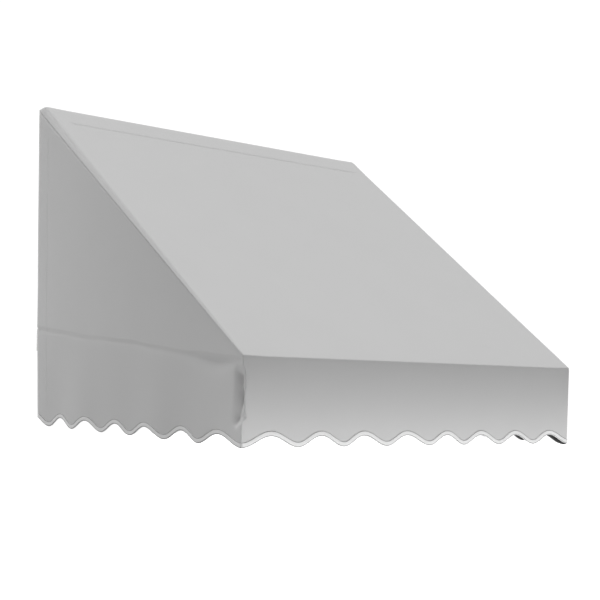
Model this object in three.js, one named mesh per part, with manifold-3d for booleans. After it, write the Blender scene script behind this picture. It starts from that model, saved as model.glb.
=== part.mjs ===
// A fixed-frame fabric awning for a window or a door.
//
// A wedge of galvanised tube hooks onto three wall brackets and stands on two wall feet. A cloth cover
// is pulled over it: one panel makes the roof and the front valance, two wings close the sides, and one
// binding tape runs round the scalloped hem. Straps inside the cover hold it to the frame.
//
// Units are millimetres and +Z is up. The wall is the plane y = 0 and the awning stands out along -Y.
// The origin is on the wall, level with the axis of the head rail, midway along it.

import * as THREE from "three";
import { mergeVertices } from "three/addons/utils/BufferGeometryUtils.js";
import Module from "manifold-3d";

const wasm = await Module();
wasm.setup();

// Driving dimensions of the whole awning.
const WIDTH = 1220;
const PROJECTION = 970;
const ROOF_DROP = 710;
const ARM_RISE = 72;
const VALANCE_DROP = 207;

// The frame's tube, and the clearances that touching pieces keep.
const TUBE_RADIUS = 12.7;
const TUBE_WALL = 1.2;
const TUBE_SPACE = 3;
const CLEARANCE = 0.3;

// The cover: its thickness, its distance from the tubes, and its scalloped hem.
const CLOTH = 1.6;
const CLOTH_GAP = 2.4;
const SCALLOP_COUNT = 8;
const SCALLOP_DEPTH = 32;
const BINDING_WIDTH = 12;
const BINDING_TAPE = 0.8;

// The pocket that the roof panel makes round the head rail, and the notches that open it.
const WALL_GAP = 1.3;
const POCKET_LENGTH = 70;
const BRACKET_NOTCH = 46;
const CORNER_NOTCH = 62;

// Corner castings: a ball where the tubes meet, and a cored spigot inside each tube.
const BALL_RADIUS = 14;
const BALL_SPACE = 1.5;
const SPIGOT_RADIUS = 10.9;
const SPIGOT_BORE = 7;
const SPIGOT_LENGTH = 40;

// Self-drilling screws with a hexagon washer head, each this far from the end of its tube.
const SCREW_RADIUS = 2.4;
const SCREW_HOLE = 2.8;
const SCREW_FROM_END = 18;
const CORNER_SCREW_LENGTH = 8.5;
const BRACKET_SCREW_LENGTH = 6.5;

// Head brackets and wall feet, with the holes for the wall screws.
const BRACKET_SPACING = 500;
const BRACKET_WIDTH = 40;
const BRACKET_PLATE = 3;
const BRACKET_TOP = 6;
const BRACKET_BOTTOM = -62;
const BRACKET_SCREW_ANGLE = Math.PI / 4;
const SADDLE_SPACE = 0.4;
const SADDLE_TIP = Math.PI - 0.26;
const SADDLE_HEEL = -0.17;
const BRACKET_HOLES = [-32, -50];
const FOOT_FLANGE = 5;
const FOOT_HOLES = [3, -38];
const FOOT_HOLE_INBOARD = 20;
const WALL_HOLE = 3.5;

// Hook-and-loop straps.
const STRAP_WIDTH = 25;
const STRAP_TAPE = 1.5;
const STRAP_SPACE = 0.5;
const STRAP_LAP = 0.9;

// How finely round shapes and scallops are divided.
const ROUND = 16;
const ARC = 12;
const SCALLOP_STEPS = 6;

// Sizes and places that follow from the driving dimensions.
const outerOffset = TUBE_RADIUS + CLOTH_GAP + CLOTH;
const innerOffset = TUBE_RADIUS + CLOTH_GAP;
const sideX = WIDTH / 2 - outerOffset;
const headY = -(outerOffset + WALL_GAP);
const frontY = -(PROJECTION - outerOffset);
const frontZ = -ROOF_DROP;
const footZ = frontZ + ARM_RISE;
const hemLow = frontZ - VALANCE_DROP;
const scallopPitch = WIDTH / SCALLOP_COUNT;
const slope = Math.atan2(ROOF_DROP, headY - frontY);
const roofNormal = Math.PI / 2 + slope;
const downSlope = Math.PI + slope;

const ALONG_X = new THREE.Vector3(1, 0, 0);
const ALONG_Y = new THREE.Vector3(0, 1, 0);
const ALONG_Z = new THREE.Vector3(0, 0, 1);
const DOWN = new THREE.Vector3(0, 0, -1);

const galvanised = { color: 0xa9adb0, roughness: 0.45, metalness: 0.85 };
const castAluminium = { color: 0x9c9ea1, roughness: 0.6, metalness: 0.8 };
const extrudedAluminium = { color: 0xb4b6b8, roughness: 0.35, metalness: 0.9 };
const zincPlate = { color: 0xc0c2c0, roughness: 0.3, metalness: 0.95 };
const cloth = { color: 0xc6c6c6, roughness: 0.95, metalness: 0 };
const tape = { color: 0xe4e4e4, roughness: 0.9, metalness: 0 };
const webbing = { color: 0x5c5c5c, roughness: 0.95, metalness: 0 };

// --- Shared geometry ---------------------------------------------------------------------------

// Turns a closed three.js geometry into a solid that can be joined and cut. Triangles that merging
// reduces to a line are left out.
function solidOf(geometry, matrix = new THREE.Matrix4()) {
  const bare = geometry.clone().applyMatrix4(matrix);
  bare.deleteAttribute("normal");
  bare.deleteAttribute("uv");
  const merged = mergeVertices(bare, 1e-3);
  const kept = [];
  for (let k = 0; k < merged.index.count; k += 3) {
    const [a, b, c] = merged.index.array.slice(k, k + 3);
    if (a !== b && b !== c && c !== a) {
      kept.push(a, b, c);
    }
  }
  const vertProperties = new Float32Array(merged.attributes.position.array);
  const triVerts = new Uint32Array(kept);
  return new wasm.Manifold(new wasm.Mesh({ numProp: 3, vertProperties, triVerts }));
}

// Turns a solid back into a three.js geometry.
function geometryOf(solid) {
  const mesh = solid.getMesh();
  const geometry = new THREE.BufferGeometry();
  geometry.setAttribute("position", new THREE.BufferAttribute(mesh.vertProperties, 3));
  geometry.setIndex(new THREE.BufferAttribute(mesh.triVerts, 1));
  geometry.computeVertexNormals();
  return geometry;
}

// A named mesh with a material of its own.
function piece(name, geometry, finish) {
  const mesh = new THREE.Mesh(geometry, new THREE.MeshStandardMaterial(finish));
  mesh.name = name;
  return mesh;
}

// Turns a mesh so that its own X and Y axes point along the two directions given.
function aim(mesh, x, y) {
  const z = new THREE.Vector3().crossVectors(x, y);
  mesh.quaternion.setFromRotationMatrix(new THREE.Matrix4().makeBasis(x, y, z));
  return mesh;
}

// A solid round rod between two distances from a centre, measured along a direction.
function rod(radius, from, to, direction, centre = new THREE.Vector3(), sides = ROUND) {
  const turn = new THREE.Quaternion().setFromUnitVectors(ALONG_Y, direction);
  const middle = centre.clone().addScaledVector(direction, (from + to) / 2);
  const matrix = new THREE.Matrix4().compose(middle, turn, new THREE.Vector3(1, 1, 1));
  return solidOf(new THREE.CylinderGeometry(radius, radius, to - from, sides), matrix);
}

// A solid box between two corners.
function block(low, high) {
  const size = new THREE.Vector3().subVectors(high, low);
  const middle = new THREE.Vector3().addVectors(low, high).multiplyScalar(0.5);
  const matrix = new THREE.Matrix4().setPosition(middle);
  return solidOf(new THREE.BoxGeometry(size.x, size.y, size.z), matrix);
}

// Extrudes a section drawn in (y, z) along X, between two values of x.
const sectionBasis = new THREE.Matrix4().makeBasis(ALONG_Y, ALONG_Z, ALONG_X);
function alongX(shape, from, to) {
  const settings = { depth: to - from, bevelEnabled: false, curveSegments: ARC };
  const geometry = new THREE.ExtrudeGeometry(shape, settings);
  return solidOf(geometry, new THREE.Matrix4().makeTranslation(from, 0, 0).multiply(sectionBasis));
}

// Extrudes an outline drawn in (x, z) along Y, between two values of y.
const elevationBasis = new THREE.Matrix4().makeBasis(ALONG_X, ALONG_Z, ALONG_Y.clone().negate());
function alongY(shape, from, to) {
  const geometry = new THREE.ExtrudeGeometry(shape, { depth: to - from, bevelEnabled: false });
  return solidOf(geometry, new THREE.Matrix4().makeTranslation(0, to, 0).multiply(elevationBasis));
}

// --- The frame ---------------------------------------------------------------------------------

const corners = {};
const members = [
  { name: "head_rail", ends: ["left_head_corner", "right_head_corner"], screwSide: DOWN },
  { name: "front_bar", ends: ["left_front_corner", "right_front_corner"], screwSide: ALONG_Y },
];
for (const [side, sign] of [["left", -1], ["right", 1]]) {
  const head = `${side}_head_corner`;
  const front = `${side}_front_corner`;
  const foot = `${side}_wall_foot`;
  const inward = new THREE.Vector3(-sign, 0, 0);
  corners[head] = new THREE.Vector3(sign * sideX, headY, 0);
  corners[front] = new THREE.Vector3(sign * sideX, frontY, frontZ);
  corners[foot] = new THREE.Vector3(sign * sideX, headY, footZ);
  members.push({ name: `${side}_rafter`, ends: [head, front], screwSide: inward });
  members.push({ name: `${side}_arm`, ends: [foot, front], screwSide: inward });
  members.push({ name: `${side}_upright`, ends: [head, foot], screwSide: inward });
}

// The direction in which a member leaves one of its corners.
function directionFrom(member, corner) {
  const far = member.ends[0] === corner ? member.ends[1] : member.ends[0];
  return new THREE.Vector3().subVectors(corners[far], corners[corner]).normalize();
}

// How far from a corner a tube starts: clear of the ball and of every other tube that meets there.
function standoff(member, corner) {
  const own = directionFrom(member, corner);
  const others = members.filter((other) => other !== member && other.ends.includes(corner));
  const reaches = others.map((other) => {
    const angle = own.angleTo(directionFrom(other, corner));
    return TUBE_RADIUS / Math.tan(angle / 2) + TUBE_SPACE;
  });
  return Math.max(BALL_RADIUS + BALL_SPACE, ...reaches);
}

// A screw: a hexagon on a washer flange, with its shank along -Y from the origin.
function screwGeometry(length) {
  const up = ALONG_Y;
  const shank = rod(SCREW_RADIUS, -length, 1, up, undefined, 6);
  const flange = rod(5.2, 0, 1.2, up, undefined, 10);
  const hexagon = rod(4.6, 0.6, 4.8, up, undefined, 6);
  return geometryOf(shank.add(flange).add(hexagon));
}

const cornerScrew = screwGeometry(CORNER_SCREW_LENGTH);
const bracketScrew = screwGeometry(BRACKET_SCREW_LENGTH);
const bracketPlaces = [["left", -BRACKET_SPACING], ["middle", 0], ["right", BRACKET_SPACING]];

// One tube, along its own Y axis, with its screw holes on its own +X side, and its two screws. The
// head rail is drilled for the bracket screws too.
function tube(member) {
  const [start, end] = member.ends;
  const direction = directionFrom(member, start);
  const from = corners[start].clone().addScaledVector(direction, standoff(member, start));
  const to = corners[end].clone().addScaledVector(direction, -standoff(member, end));
  const half = from.distanceTo(to) / 2;
  const middle = new THREE.Vector3().addVectors(from, to).multiplyScalar(0.5);
  let solid = rod(TUBE_RADIUS, -half, half, ALONG_Y);
  solid = solid.subtract(rod(TUBE_RADIUS - TUBE_WALL, -half - 1, half + 1, ALONG_Y));
  const group = new THREE.Group();
  for (const [label, along] of [["a", SCREW_FROM_END - half], ["b", half - SCREW_FROM_END]]) {
    const at = new THREE.Vector3(0, along, 0);
    solid = solid.subtract(rod(SCREW_HOLE, 0, TUBE_RADIUS + 1, ALONG_X, at, 8));
    const screw = piece(`${member.name}_screw_${label}`, cornerScrew, zincPlate);
    aim(screw, direction, member.screwSide);
    screw.position.copy(middle).addScaledVector(direction, along);
    screw.position.addScaledVector(member.screwSide, TUBE_RADIUS + CLEARANCE);
    group.add(screw);
  }
  if (member.name === "head_rail") {
    const drilled = new THREE.Vector3(Math.cos(BRACKET_SCREW_ANGLE), 0, Math.sin(BRACKET_SCREW_ANGLE));
    for (const [, x] of bracketPlaces) {
      const at = new THREE.Vector3(0, x, 0);
      solid = solid.subtract(rod(SCREW_HOLE, 0, TUBE_RADIUS + 1, drilled, at, 8));
    }
  }
  const mesh = aim(piece(member.name, geometryOf(solid), galvanised), member.screwSide, direction);
  mesh.position.copy(middle);
  group.add(mesh);
  return group;
}

// The corner casting's solid about its own centre: a ball, a collar and a spigot for each tube.
function cornerCasting(corner) {
  let solid = solidOf(new THREE.SphereGeometry(BALL_RADIUS, ROUND - 2, ROUND / 2));
  const meeting = members.filter((member) => member.ends.includes(corner));
  for (const member of meeting) {
    const direction = directionFrom(member, corner);
    const start = standoff(member, corner);
    solid = solid.add(rod(TUBE_RADIUS, 0, start - CLEARANCE, direction));
    solid = solid.add(rod(SPIGOT_RADIUS, 0, start + SPIGOT_LENGTH, direction, undefined, 12));
  }
  for (const member of meeting) {
    const direction = directionFrom(member, corner);
    const start = standoff(member, corner);
    const screwAt = direction.clone().multiplyScalar(start + SCREW_FROM_END);
    solid = solid.subtract(rod(SPIGOT_BORE, start + 4, start + SPIGOT_LENGTH + 1, direction, undefined, 8));
    solid = solid.subtract(rod(SCREW_HOLE, 0, TUBE_RADIUS, member.screwSide, screwAt, 8));
  }
  return solid;
}

// A wall foot is a corner casting with a flange flat on the wall, a web and a rib behind the ball, and
// two holes in the flange, inboard of the tubes.
function wallFoot(corner, sign) {
  const wall = -headY;
  const flangeFront = wall - FOOT_FLANGE;
  const flangeInner = -sign * 28;
  const flangeOuter = sign * 13;
  const low = new THREE.Vector3(Math.min(flangeInner, flangeOuter), flangeFront, -50);
  const high = new THREE.Vector3(Math.max(flangeInner, flangeOuter), wall, 14);
  const rib = new THREE.Shape();
  rib.moveTo(0, -9);
  rib.lineTo(flangeFront + 1, -46);
  rib.lineTo(flangeFront + 1, -9);
  let solid = cornerCasting(corner);
  solid = solid.add(block(low, high));
  solid = solid.add(block(new THREE.Vector3(-10, 0, -11), new THREE.Vector3(10, flangeFront + 1, 11)));
  solid = solid.add(alongX(rib, -3, 3));
  for (const z of FOOT_HOLES) {
    const at = new THREE.Vector3(-sign * FOOT_HOLE_INBOARD, 0, z);
    solid = solid.subtract(rod(WALL_HOLE, flangeFront - 1, wall + 1, ALONG_Y, at, 12));
  }
  return solid;
}

const saddleInner = TUBE_RADIUS + SADDLE_SPACE;
const saddleOuter = saddleInner + BRACKET_PLATE;
const bracketScrewSide = new THREE.Vector3(0, -Math.sin(BRACKET_SCREW_ANGLE), -Math.cos(BRACKET_SCREW_ANGLE));

// A head bracket is a length of extrusion: a plate on the wall with a saddle that carries the head rail
// from below and hooks up in front of it. Its origin is on the wall, level with the rail's axis.
function headBracket() {
  const section = new THREE.Shape();
  section.moveTo(0, BRACKET_TOP);
  section.lineTo(0, BRACKET_BOTTOM);
  section.lineTo(-BRACKET_PLATE, BRACKET_BOTTOM);
  section.lineTo(-BRACKET_PLATE, -saddleOuter);
  section.absarc(headY, 0, saddleOuter, -Math.PI / 2, SADDLE_TIP, true);
  section.absarc(headY, 0, saddleInner, SADDLE_TIP, SADDLE_HEEL, false);
  section.lineTo(-BRACKET_PLATE, saddleInner * Math.sin(SADDLE_HEEL));
  section.lineTo(-BRACKET_PLATE, BRACKET_TOP);
  let solid = alongX(section, -BRACKET_WIDTH / 2, BRACKET_WIDTH / 2);
  for (const z of BRACKET_HOLES) {
    const at = new THREE.Vector3(0, 0, z);
    solid = solid.subtract(rod(WALL_HOLE, -BRACKET_PLATE - 1, 1, ALONG_Y, at, 12));
  }
  const axis = new THREE.Vector3(0, headY, 0);
  return solid.subtract(rod(SCREW_HOLE, 0, saddleOuter + 1, bracketScrewSide, axis, 8));
}

function buildFrame() {
  const frame = new THREE.Group();
  for (const member of members) {
    frame.add(tube(member));
  }
  for (const corner of Object.keys(corners)) {
    const foot = corner.endsWith("wall_foot");
    const solid = foot ? wallFoot(corner, Math.sign(corners[corner].x)) : cornerCasting(corner);
    const casting = piece(corner, geometryOf(solid), castAluminium);
    casting.position.copy(corners[corner]);
    frame.add(casting);
  }
  const bracket = geometryOf(headBracket());
  for (const [label, x] of bracketPlaces) {
    const plate = piece(`head_bracket_${label}`, bracket, extrudedAluminium);
    plate.position.x = x;
    const screw = piece(`head_bracket_${label}_screw`, bracketScrew, zincPlate);
    aim(screw, ALONG_X, bracketScrewSide);
    screw.position.set(x, headY, 0).addScaledVector(bracketScrewSide, saddleOuter + CLEARANCE);
    frame.add(plate, screw);
  }
  return frame;
}

// --- The cover ---------------------------------------------------------------------------------

// Height of the hem at a distance from a front corner, which is a low point of the scallops.
function hemHeight(distance) {
  return hemLow + SCALLOP_DEPTH * (1 - Math.cos(2 * Math.PI * distance / scallopPitch)) / 2;
}

// Points along the scallops between two distances from a front corner.
function scallops(from, to) {
  const step = scallopPitch / SCALLOP_STEPS;
  const inner = [];
  for (let k = Math.ceil(from / step + 0.01); k * step < to - 0.01; k += 1) {
    inner.push(k * step);
  }
  return [from, ...inner, to].map((distance) => [distance, hemHeight(distance)]);
}

// An outline with the scallops below and, above, either a straight top or the same scallops raised.
function scallopedBand(from, to, start, below, above, straightTop = null) {
  const edge = scallops(from, to);
  const band = new THREE.Shape();
  band.moveTo(start + edge[0][0], edge[0][1] - below);
  for (const [distance, z] of edge.slice(1)) {
    band.lineTo(start + distance, z - below);
  }
  for (const [distance, z] of edge.reverse()) {
    band.lineTo(start + distance, straightTop ?? z + above);
  }
  return band;
}

// Starts an outline at the front bar's level and carries it over that bar, up the roof and over the
// head rail, at one distance from the bars' axes, as far round the head rail as the angle given.
function drawOverBars(outline, offset, lastAngle) {
  outline.absarc(frontY, frontZ, offset, Math.PI, roofNormal, true);
  outline.absarc(headY, 0, offset, roofNormal, lastAngle, true);
}

// The roof and the front valance are one panel. Its back edge goes round the head rail and is sewn to
// the underside of the roof, so the rail lies in a pocket, which is notched at brackets and corners.
function topPanel() {
  const pinch = Math.atan2(innerOffset, POCKET_LENGTH);
  const lowerNormal = downSlope + Math.PI / 2 - 2 * pinch - 2 * Math.PI;
  const apexDistance = innerOffset / Math.sin(pinch);
  const apexAngle = downSlope - pinch;
  const apex = [headY + apexDistance * Math.cos(apexAngle), apexDistance * Math.sin(apexAngle)];
  const span = Math.sin(lowerNormal - roofNormal);
  const joinY = (innerOffset * Math.sin(lowerNormal) - outerOffset * Math.sin(roofNormal)) / span;
  const joinZ = (outerOffset * Math.cos(roofNormal) - innerOffset * Math.cos(lowerNormal)) / span;

  const section = new THREE.Shape();
  drawOverBars(section, outerOffset, lowerNormal);
  section.lineTo(headY + joinY, joinZ);
  section.absarc(frontY, frontZ, innerOffset, roofNormal, Math.PI, false);
  section.lineTo(frontY - innerOffset, hemLow - 10);
  section.lineTo(frontY - outerOffset, hemLow - 10);
  const hollow = new THREE.Path();
  hollow.absarc(headY, 0, innerOffset, lowerNormal, roofNormal, false);
  hollow.lineTo(...apex);
  section.holes.push(hollow);

  const halfWidth = WIDTH / 2 - CLOTH - CLEARANCE;
  const front = scallopedBand(0, WIDTH, -WIDTH / 2, 0, 0, outerOffset + 10);
  let panel = alongX(section, -halfWidth, halfWidth);
  panel = panel.intersect(alongY(front, -PROJECTION - 10, 10));

  // A place beside the head rail, from distances down the slope and out from the slope.
  const place = (down, out) => [
    headY + down * Math.cos(downSlope) + out * Math.cos(roofNormal),
    down * Math.sin(downSlope) + out * Math.sin(roofNormal),
  ];
  const underRoof = innerOffset - 0.4;
  const notch = new THREE.Shape();
  notch.moveTo(5, 8);
  notch.lineTo(headY, 8);
  notch.lineTo(...place(10, underRoof));
  notch.lineTo(...place(POCKET_LENGTH + 12, underRoof));
  notch.lineTo(...place(POCKET_LENGTH + 12, -30));
  notch.lineTo(5, -60);
  for (const [, x] of bracketPlaces) {
    panel = panel.subtract(alongX(notch, x - BRACKET_NOTCH / 2, x + BRACKET_NOTCH / 2));
  }
  panel = panel.subtract(alongX(notch, halfWidth - CORNER_NOTCH, halfWidth + 1));
  return panel.subtract(alongX(notch, -halfWidth - 1, CORNER_NOTCH - halfWidth));
}

// A wing closes one side: a flat panel under the roof's edge that hangs on below the arm as a skirt.
function wingOutline() {
  const wing = new THREE.Shape();
  drawOverBars(wing, outerOffset, 0);
  for (const [distance, z] of scallops(0, PROJECTION - WALL_GAP).reverse()) {
    wing.lineTo(distance - PROJECTION, z);
  }
  return wing;
}

// The hem binding is one tape, folded over the hem of a wing, the front valance and the other wing.
function hemBinding() {
  const spread = CLEARANCE + BINDING_TAPE;
  const sideStart = -PROJECTION;
  const frontStart = -WIDTH / 2;
  const sideEnd = PROJECTION - WALL_GAP;
  const frontTape = scallopedBand(-spread, WIDTH + spread, frontStart, spread, BINDING_WIDTH);
  const slotTop = 2 * BINDING_WIDTH;
  const frontSlot = scallopedBand(-CLEARANCE, WIDTH + CLEARANCE, frontStart, CLEARANCE, slotTop);
  const sideTape = scallopedBand(-spread, sideEnd, sideStart, spread, BINDING_WIDTH);
  const sideSlot = scallopedBand(-CLEARANCE, sideEnd + 1, sideStart, CLEARANCE, slotTop);
  const outerX = WIDTH / 2;
  const innerX = WIDTH / 2 - CLOTH;
  let tapes = alongY(frontTape, -PROJECTION - spread, -PROJECTION + CLOTH + spread);
  tapes = tapes.add(alongX(sideTape, innerX - spread, outerX + spread));
  tapes = tapes.add(alongX(sideTape, -outerX - spread, -innerX + spread));
  tapes = tapes.subtract(alongY(frontSlot, -PROJECTION - CLEARANCE, -PROJECTION + CLOTH + CLEARANCE));
  tapes = tapes.subtract(alongX(sideSlot, innerX - CLEARANCE, outerX + CLEARANCE));
  return tapes.subtract(alongX(sideSlot, -outerX - CLEARANCE, -innerX + CLEARANCE));
}

// A strap is sewn inside the cover and closed round a tube: one turn of tape, doubled where the
// hook-and-loop ends overlap, on the side of its own +X axis.
function strapGeometry() {
  const inner = TUBE_RADIUS + STRAP_SPACE;
  const ring = new THREE.Shape();
  ring.absarc(0, 0, inner + 2 * STRAP_TAPE, -STRAP_LAP, STRAP_LAP, false);
  ring.absarc(0, 0, inner + STRAP_TAPE, STRAP_LAP, 2 * Math.PI - STRAP_LAP, false);
  const hole = new THREE.Path();
  hole.absarc(0, 0, inner, 0, 2 * Math.PI, true);
  ring.holes.push(hole);
  const settings = { depth: STRAP_WIDTH, bevelEnabled: false, curveSegments: ROUND / 2 };
  return new THREE.ExtrudeGeometry(ring, settings).translate(0, 0, -STRAP_WIDTH / 2);
}

function buildCover() {
  const cover = new THREE.Group();
  cover.add(piece("top_panel", geometryOf(topPanel()), cloth));
  const wing = geometryOf(alongX(wingOutline(), 0, CLOTH));
  const leftWing = piece("left_wing", wing, cloth);
  leftWing.position.x = -WIDTH / 2;
  const rightWing = piece("right_wing", wing, cloth);
  rightWing.position.x = WIDTH / 2 - CLOTH;
  cover.add(leftWing, rightWing, piece("hem_binding", geometryOf(hemBinding()), tape));

  // Where the straps close: on which tube, how far along it, and towards which side.
  const strap = strapGeometry();
  const places = [
    ["front_bar", "left", 0.16],
    ["front_bar", "middle", 0.5],
    ["front_bar", "right", 0.84],
  ];
  for (const side of ["left", "right"]) {
    places.push([`${side}_arm`, "rear", 0.25]);
    places.push([`${side}_arm`, "front", 0.68]);
    places.push([`${side}_upright`, "middle", 0.5]);
  }
  for (const [tubeName, label, along] of places) {
    const member = members.find((one) => one.name === tubeName);
    const [start, end] = member.ends.map((corner) => corners[corner]);
    const direction = directionFrom(member, member.ends[0]);
    const inside = tubeName === "front_bar" ? new THREE.Vector3(0, 1, -1).normalize() : member.screwSide;
    const third = new THREE.Vector3().crossVectors(direction, inside);
    const mesh = aim(piece(`${tubeName}_strap_${label}`, strap, webbing), inside, third);
    mesh.position.lerpVectors(start, end, along);
    cover.add(mesh);
  }
  return cover;
}

const awning = new THREE.Group();
awning.add(buildFrame(), buildCover());

export default awning;
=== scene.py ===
import math

import bpy
import numpy as np
from mathutils import Matrix, Vector


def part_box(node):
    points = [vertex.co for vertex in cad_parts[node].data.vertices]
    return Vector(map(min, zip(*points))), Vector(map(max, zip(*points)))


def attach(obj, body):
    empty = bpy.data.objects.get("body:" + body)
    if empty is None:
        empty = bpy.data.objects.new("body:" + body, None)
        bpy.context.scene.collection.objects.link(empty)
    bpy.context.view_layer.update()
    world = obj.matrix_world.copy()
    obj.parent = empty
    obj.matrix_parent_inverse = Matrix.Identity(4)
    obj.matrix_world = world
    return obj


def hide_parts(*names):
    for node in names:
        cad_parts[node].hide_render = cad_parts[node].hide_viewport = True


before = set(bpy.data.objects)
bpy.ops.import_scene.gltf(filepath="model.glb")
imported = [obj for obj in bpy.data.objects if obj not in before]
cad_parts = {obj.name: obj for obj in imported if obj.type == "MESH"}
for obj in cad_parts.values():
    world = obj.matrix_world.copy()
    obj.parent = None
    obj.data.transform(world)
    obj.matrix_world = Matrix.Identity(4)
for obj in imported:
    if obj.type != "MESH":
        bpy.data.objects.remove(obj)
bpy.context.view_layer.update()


# ---------------------------------------------------------------------------------------------------
# Camera. It stands in the street, to the left of the awning and level with its eave, so that the roof,
# the left wing and the front valance all show. A small rise of the lens keeps the uprights nearly
# parallel, as a view camera does.

eye = Vector((-2.3869, -3.2209, -0.7616))
yaw, pitch, roll = math.radians(40.89), math.radians(1.02), math.radians(1.30)
ahead = Vector((math.sin(yaw) * math.cos(pitch), math.cos(yaw) * math.cos(pitch), math.sin(pitch)))
level_right = Vector((math.cos(yaw), -math.sin(yaw), 0.0))
level_up = level_right.cross(ahead)
right = level_right * math.cos(roll) + level_up * math.sin(roll)
up = right.cross(ahead)
camera_data = bpy.data.cameras.new("camera")
camera_data.sensor_width = 36.0
camera_data.lens = 74.8
camera_data.shift_y = 0.1
camera = bpy.data.objects.new("camera", camera_data)
camera.matrix_world = Matrix.Translation(eye) @ Matrix((right, up, -ahead)).transposed().to_4x4()
bpy.context.scene.collection.objects.link(camera)
bpy.context.scene.camera = camera


# ---------------------------------------------------------------------------------------------------
# Tubes. Eight lengths of steel tube, 25.4 mm across with a 1.2 mm wall, make the wedge: a head rail, a
# front bar, and a rafter, an arm and an upright at each side. They were galvanised, then cut to length.

class Value:
    """A socket's value that takes part in Python arithmetic by adding Math nodes."""

    def __init__(self, build, socket):
        self.build = build
        self.socket = socket

    def _with(self, operation, first, second):
        inputs = {0: first, 1: second}
        return self.build.node("ShaderNodeMath", {"operation": operation}, inputs).value(0)

    def __add__(self, other):
        return self._with("ADD", self, other)

    def __radd__(self, other):
        return self._with("ADD", other, self)

    def __mul__(self, other):
        return self._with("MULTIPLY", self, other)

    def __rmul__(self, other):
        return self._with("MULTIPLY", other, self)


class Placed:
    """A node in a material, whose outputs are read by name or number."""

    def __init__(self, build, node):
        self.build = build
        self.node = node

    def value(self, output):
        return Value(self.build, self.node.outputs[output])


class Finish:
    """A material being built round one Principled shader, with its uniform values set on its sockets."""

    def __init__(self, name, **uniform):
        self.material = bpy.data.materials.new(name)
        self.material.use_nodes = True
        self.tree = self.material.node_tree
        self.shader = self.tree.nodes["Principled BSDF"]
        for socket, amount in uniform.items():
            self.shader.inputs[socket.replace("_", " ")].default_value = amount

    def node(self, kind, settings=None, inputs=None):
        """Adds a node: its settings first, then the values or links of its sockets."""
        node = self.tree.nodes.new(kind)
        for key, setting in (settings or {}).items():
            if key == "stops":
                ramp = node.color_ramp.elements
                ramp[0].position, ramp[0].color = setting[0]
                ramp[1].position, ramp[1].color = setting[-1]
                for position, color in setting[1:-1]:
                    ramp.new(position).color = color
            else:
                setattr(node, key, setting)
        for key, given in (inputs or {}).items():
            self.put(node.inputs[key], given)
        return Placed(self, node)

    def put(self, socket, given):
        """Links a value to a socket, or sets the socket to a number."""
        if isinstance(given, Value):
            self.tree.links.new(given.socket, socket)
        else:
            socket.default_value = given

    def drive(self, socket, given):
        self.put(self.shader.inputs[socket], given)

    def mix_colors(self, factor, first, second):
        inputs = {0: factor, 6: first, 7: second}
        return self.node("ShaderNodeMix", {"data_type": "RGBA"}, inputs).value(2)

    def noise(self, place, scale, detail=2.0):
        inputs = {"Vector": place, "Scale": scale, "Detail": detail}
        return self.node("ShaderNodeTexNoise", {}, inputs).value("Fac")

    def bump(self, height, distance, strength=1.0):
        inputs = {"Height": height, "Distance": distance, "Strength": strength}
        return self.node("ShaderNodeBump", {}, inputs).value("Normal")


def grey(level, warmth=0.0):
    """A colour of one level in each channel, a little redder than blue by the warmth."""
    return (level * (1 + warmth), level, level * (1 - warmth), 1.0)


def unit(vectors):
    return vectors / np.linalg.norm(vectors, axis=-1, keepdims=True)


def closed_grid(name, places, material, ring=False):
    """A surface closed round its second direction, from a grid (rows, round, 3). Its rows close into a
    ring too, or else a face covers each end. Its UV map is in metres, along and round."""
    rows, around = places.shape[:2]
    row, turn = np.meshgrid(np.arange(rows if ring else rows - 1), np.arange(around), indexing="ij")
    onward = (row + 1) % rows
    following = (turn + 1) % around
    quads = np.stack([
        row * around + turn, onward * around + turn, onward * around + following,
        row * around + following], axis=-1).reshape(-1, 4)
    faces = quads.tolist()
    if not ring:
        faces.append(list(range(around)))
        faces.append(list(range(rows * around - 1, (rows - 1) * around - 1, -1)))
    mesh = bpy.data.meshes.new(name)
    mesh.from_pydata(places.reshape(-1, 3).tolist(), [], faces)
    path = np.concatenate([places[:, 0], places[:1, 0]])
    length = np.append(0, np.linalg.norm(np.diff(path, axis=0), axis=1).cumsum())
    wrapped = np.concatenate([places, places[:, :1]], axis=1)[rows // 2]
    girth = np.append(0, np.linalg.norm(np.diff(wrapped, axis=0), axis=1).cumsum())
    corner_along = np.stack([length[row], length[row + 1], length[row + 1], length[row]], axis=-1)
    corner_round = np.stack([girth[turn], girth[turn], girth[turn + 1], girth[turn + 1]], axis=-1)
    uv = np.zeros((len(mesh.loops), 2))
    uv[:quads.size] = np.stack([corner_along, corner_round], axis=-1).reshape(-1, 2)
    layer = mesh.uv_layers.new(name="cloth")
    layer.data.foreach_set("uv", uv.reshape(-1))
    mesh.polygons.foreach_set("use_smooth", np.ones(len(mesh.polygons), bool))
    mesh.materials.append(material)
    piece = bpy.data.objects.new(name, mesh)
    bpy.context.scene.collection.objects.link(piece)
    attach(piece, "root")
    return piece


def node_points(name):
    """The places of a CAD node's vertices, each once."""
    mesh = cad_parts[name].data
    flat = np.zeros(len(mesh.vertices) * 3)
    mesh.vertices.foreach_get("co", flat)
    return np.unique(np.round(flat.reshape(-1, 3), 6), axis=0)


def tube_axis(name):
    """The two ends of a tube's axis: the middles of its end rings, which are its furthest points along
    its longest direction."""
    points = node_points(name)
    along = np.linalg.svd(points - points.mean(axis=0), full_matrices=False)[2][0]
    reach = points @ along
    low_end = points[reach < reach.min() + 1e-4].mean(axis=0)
    high_end = points[reach > reach.max() - 1e-4].mean(axis=0)
    return np.array([low_end, high_end])


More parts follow.
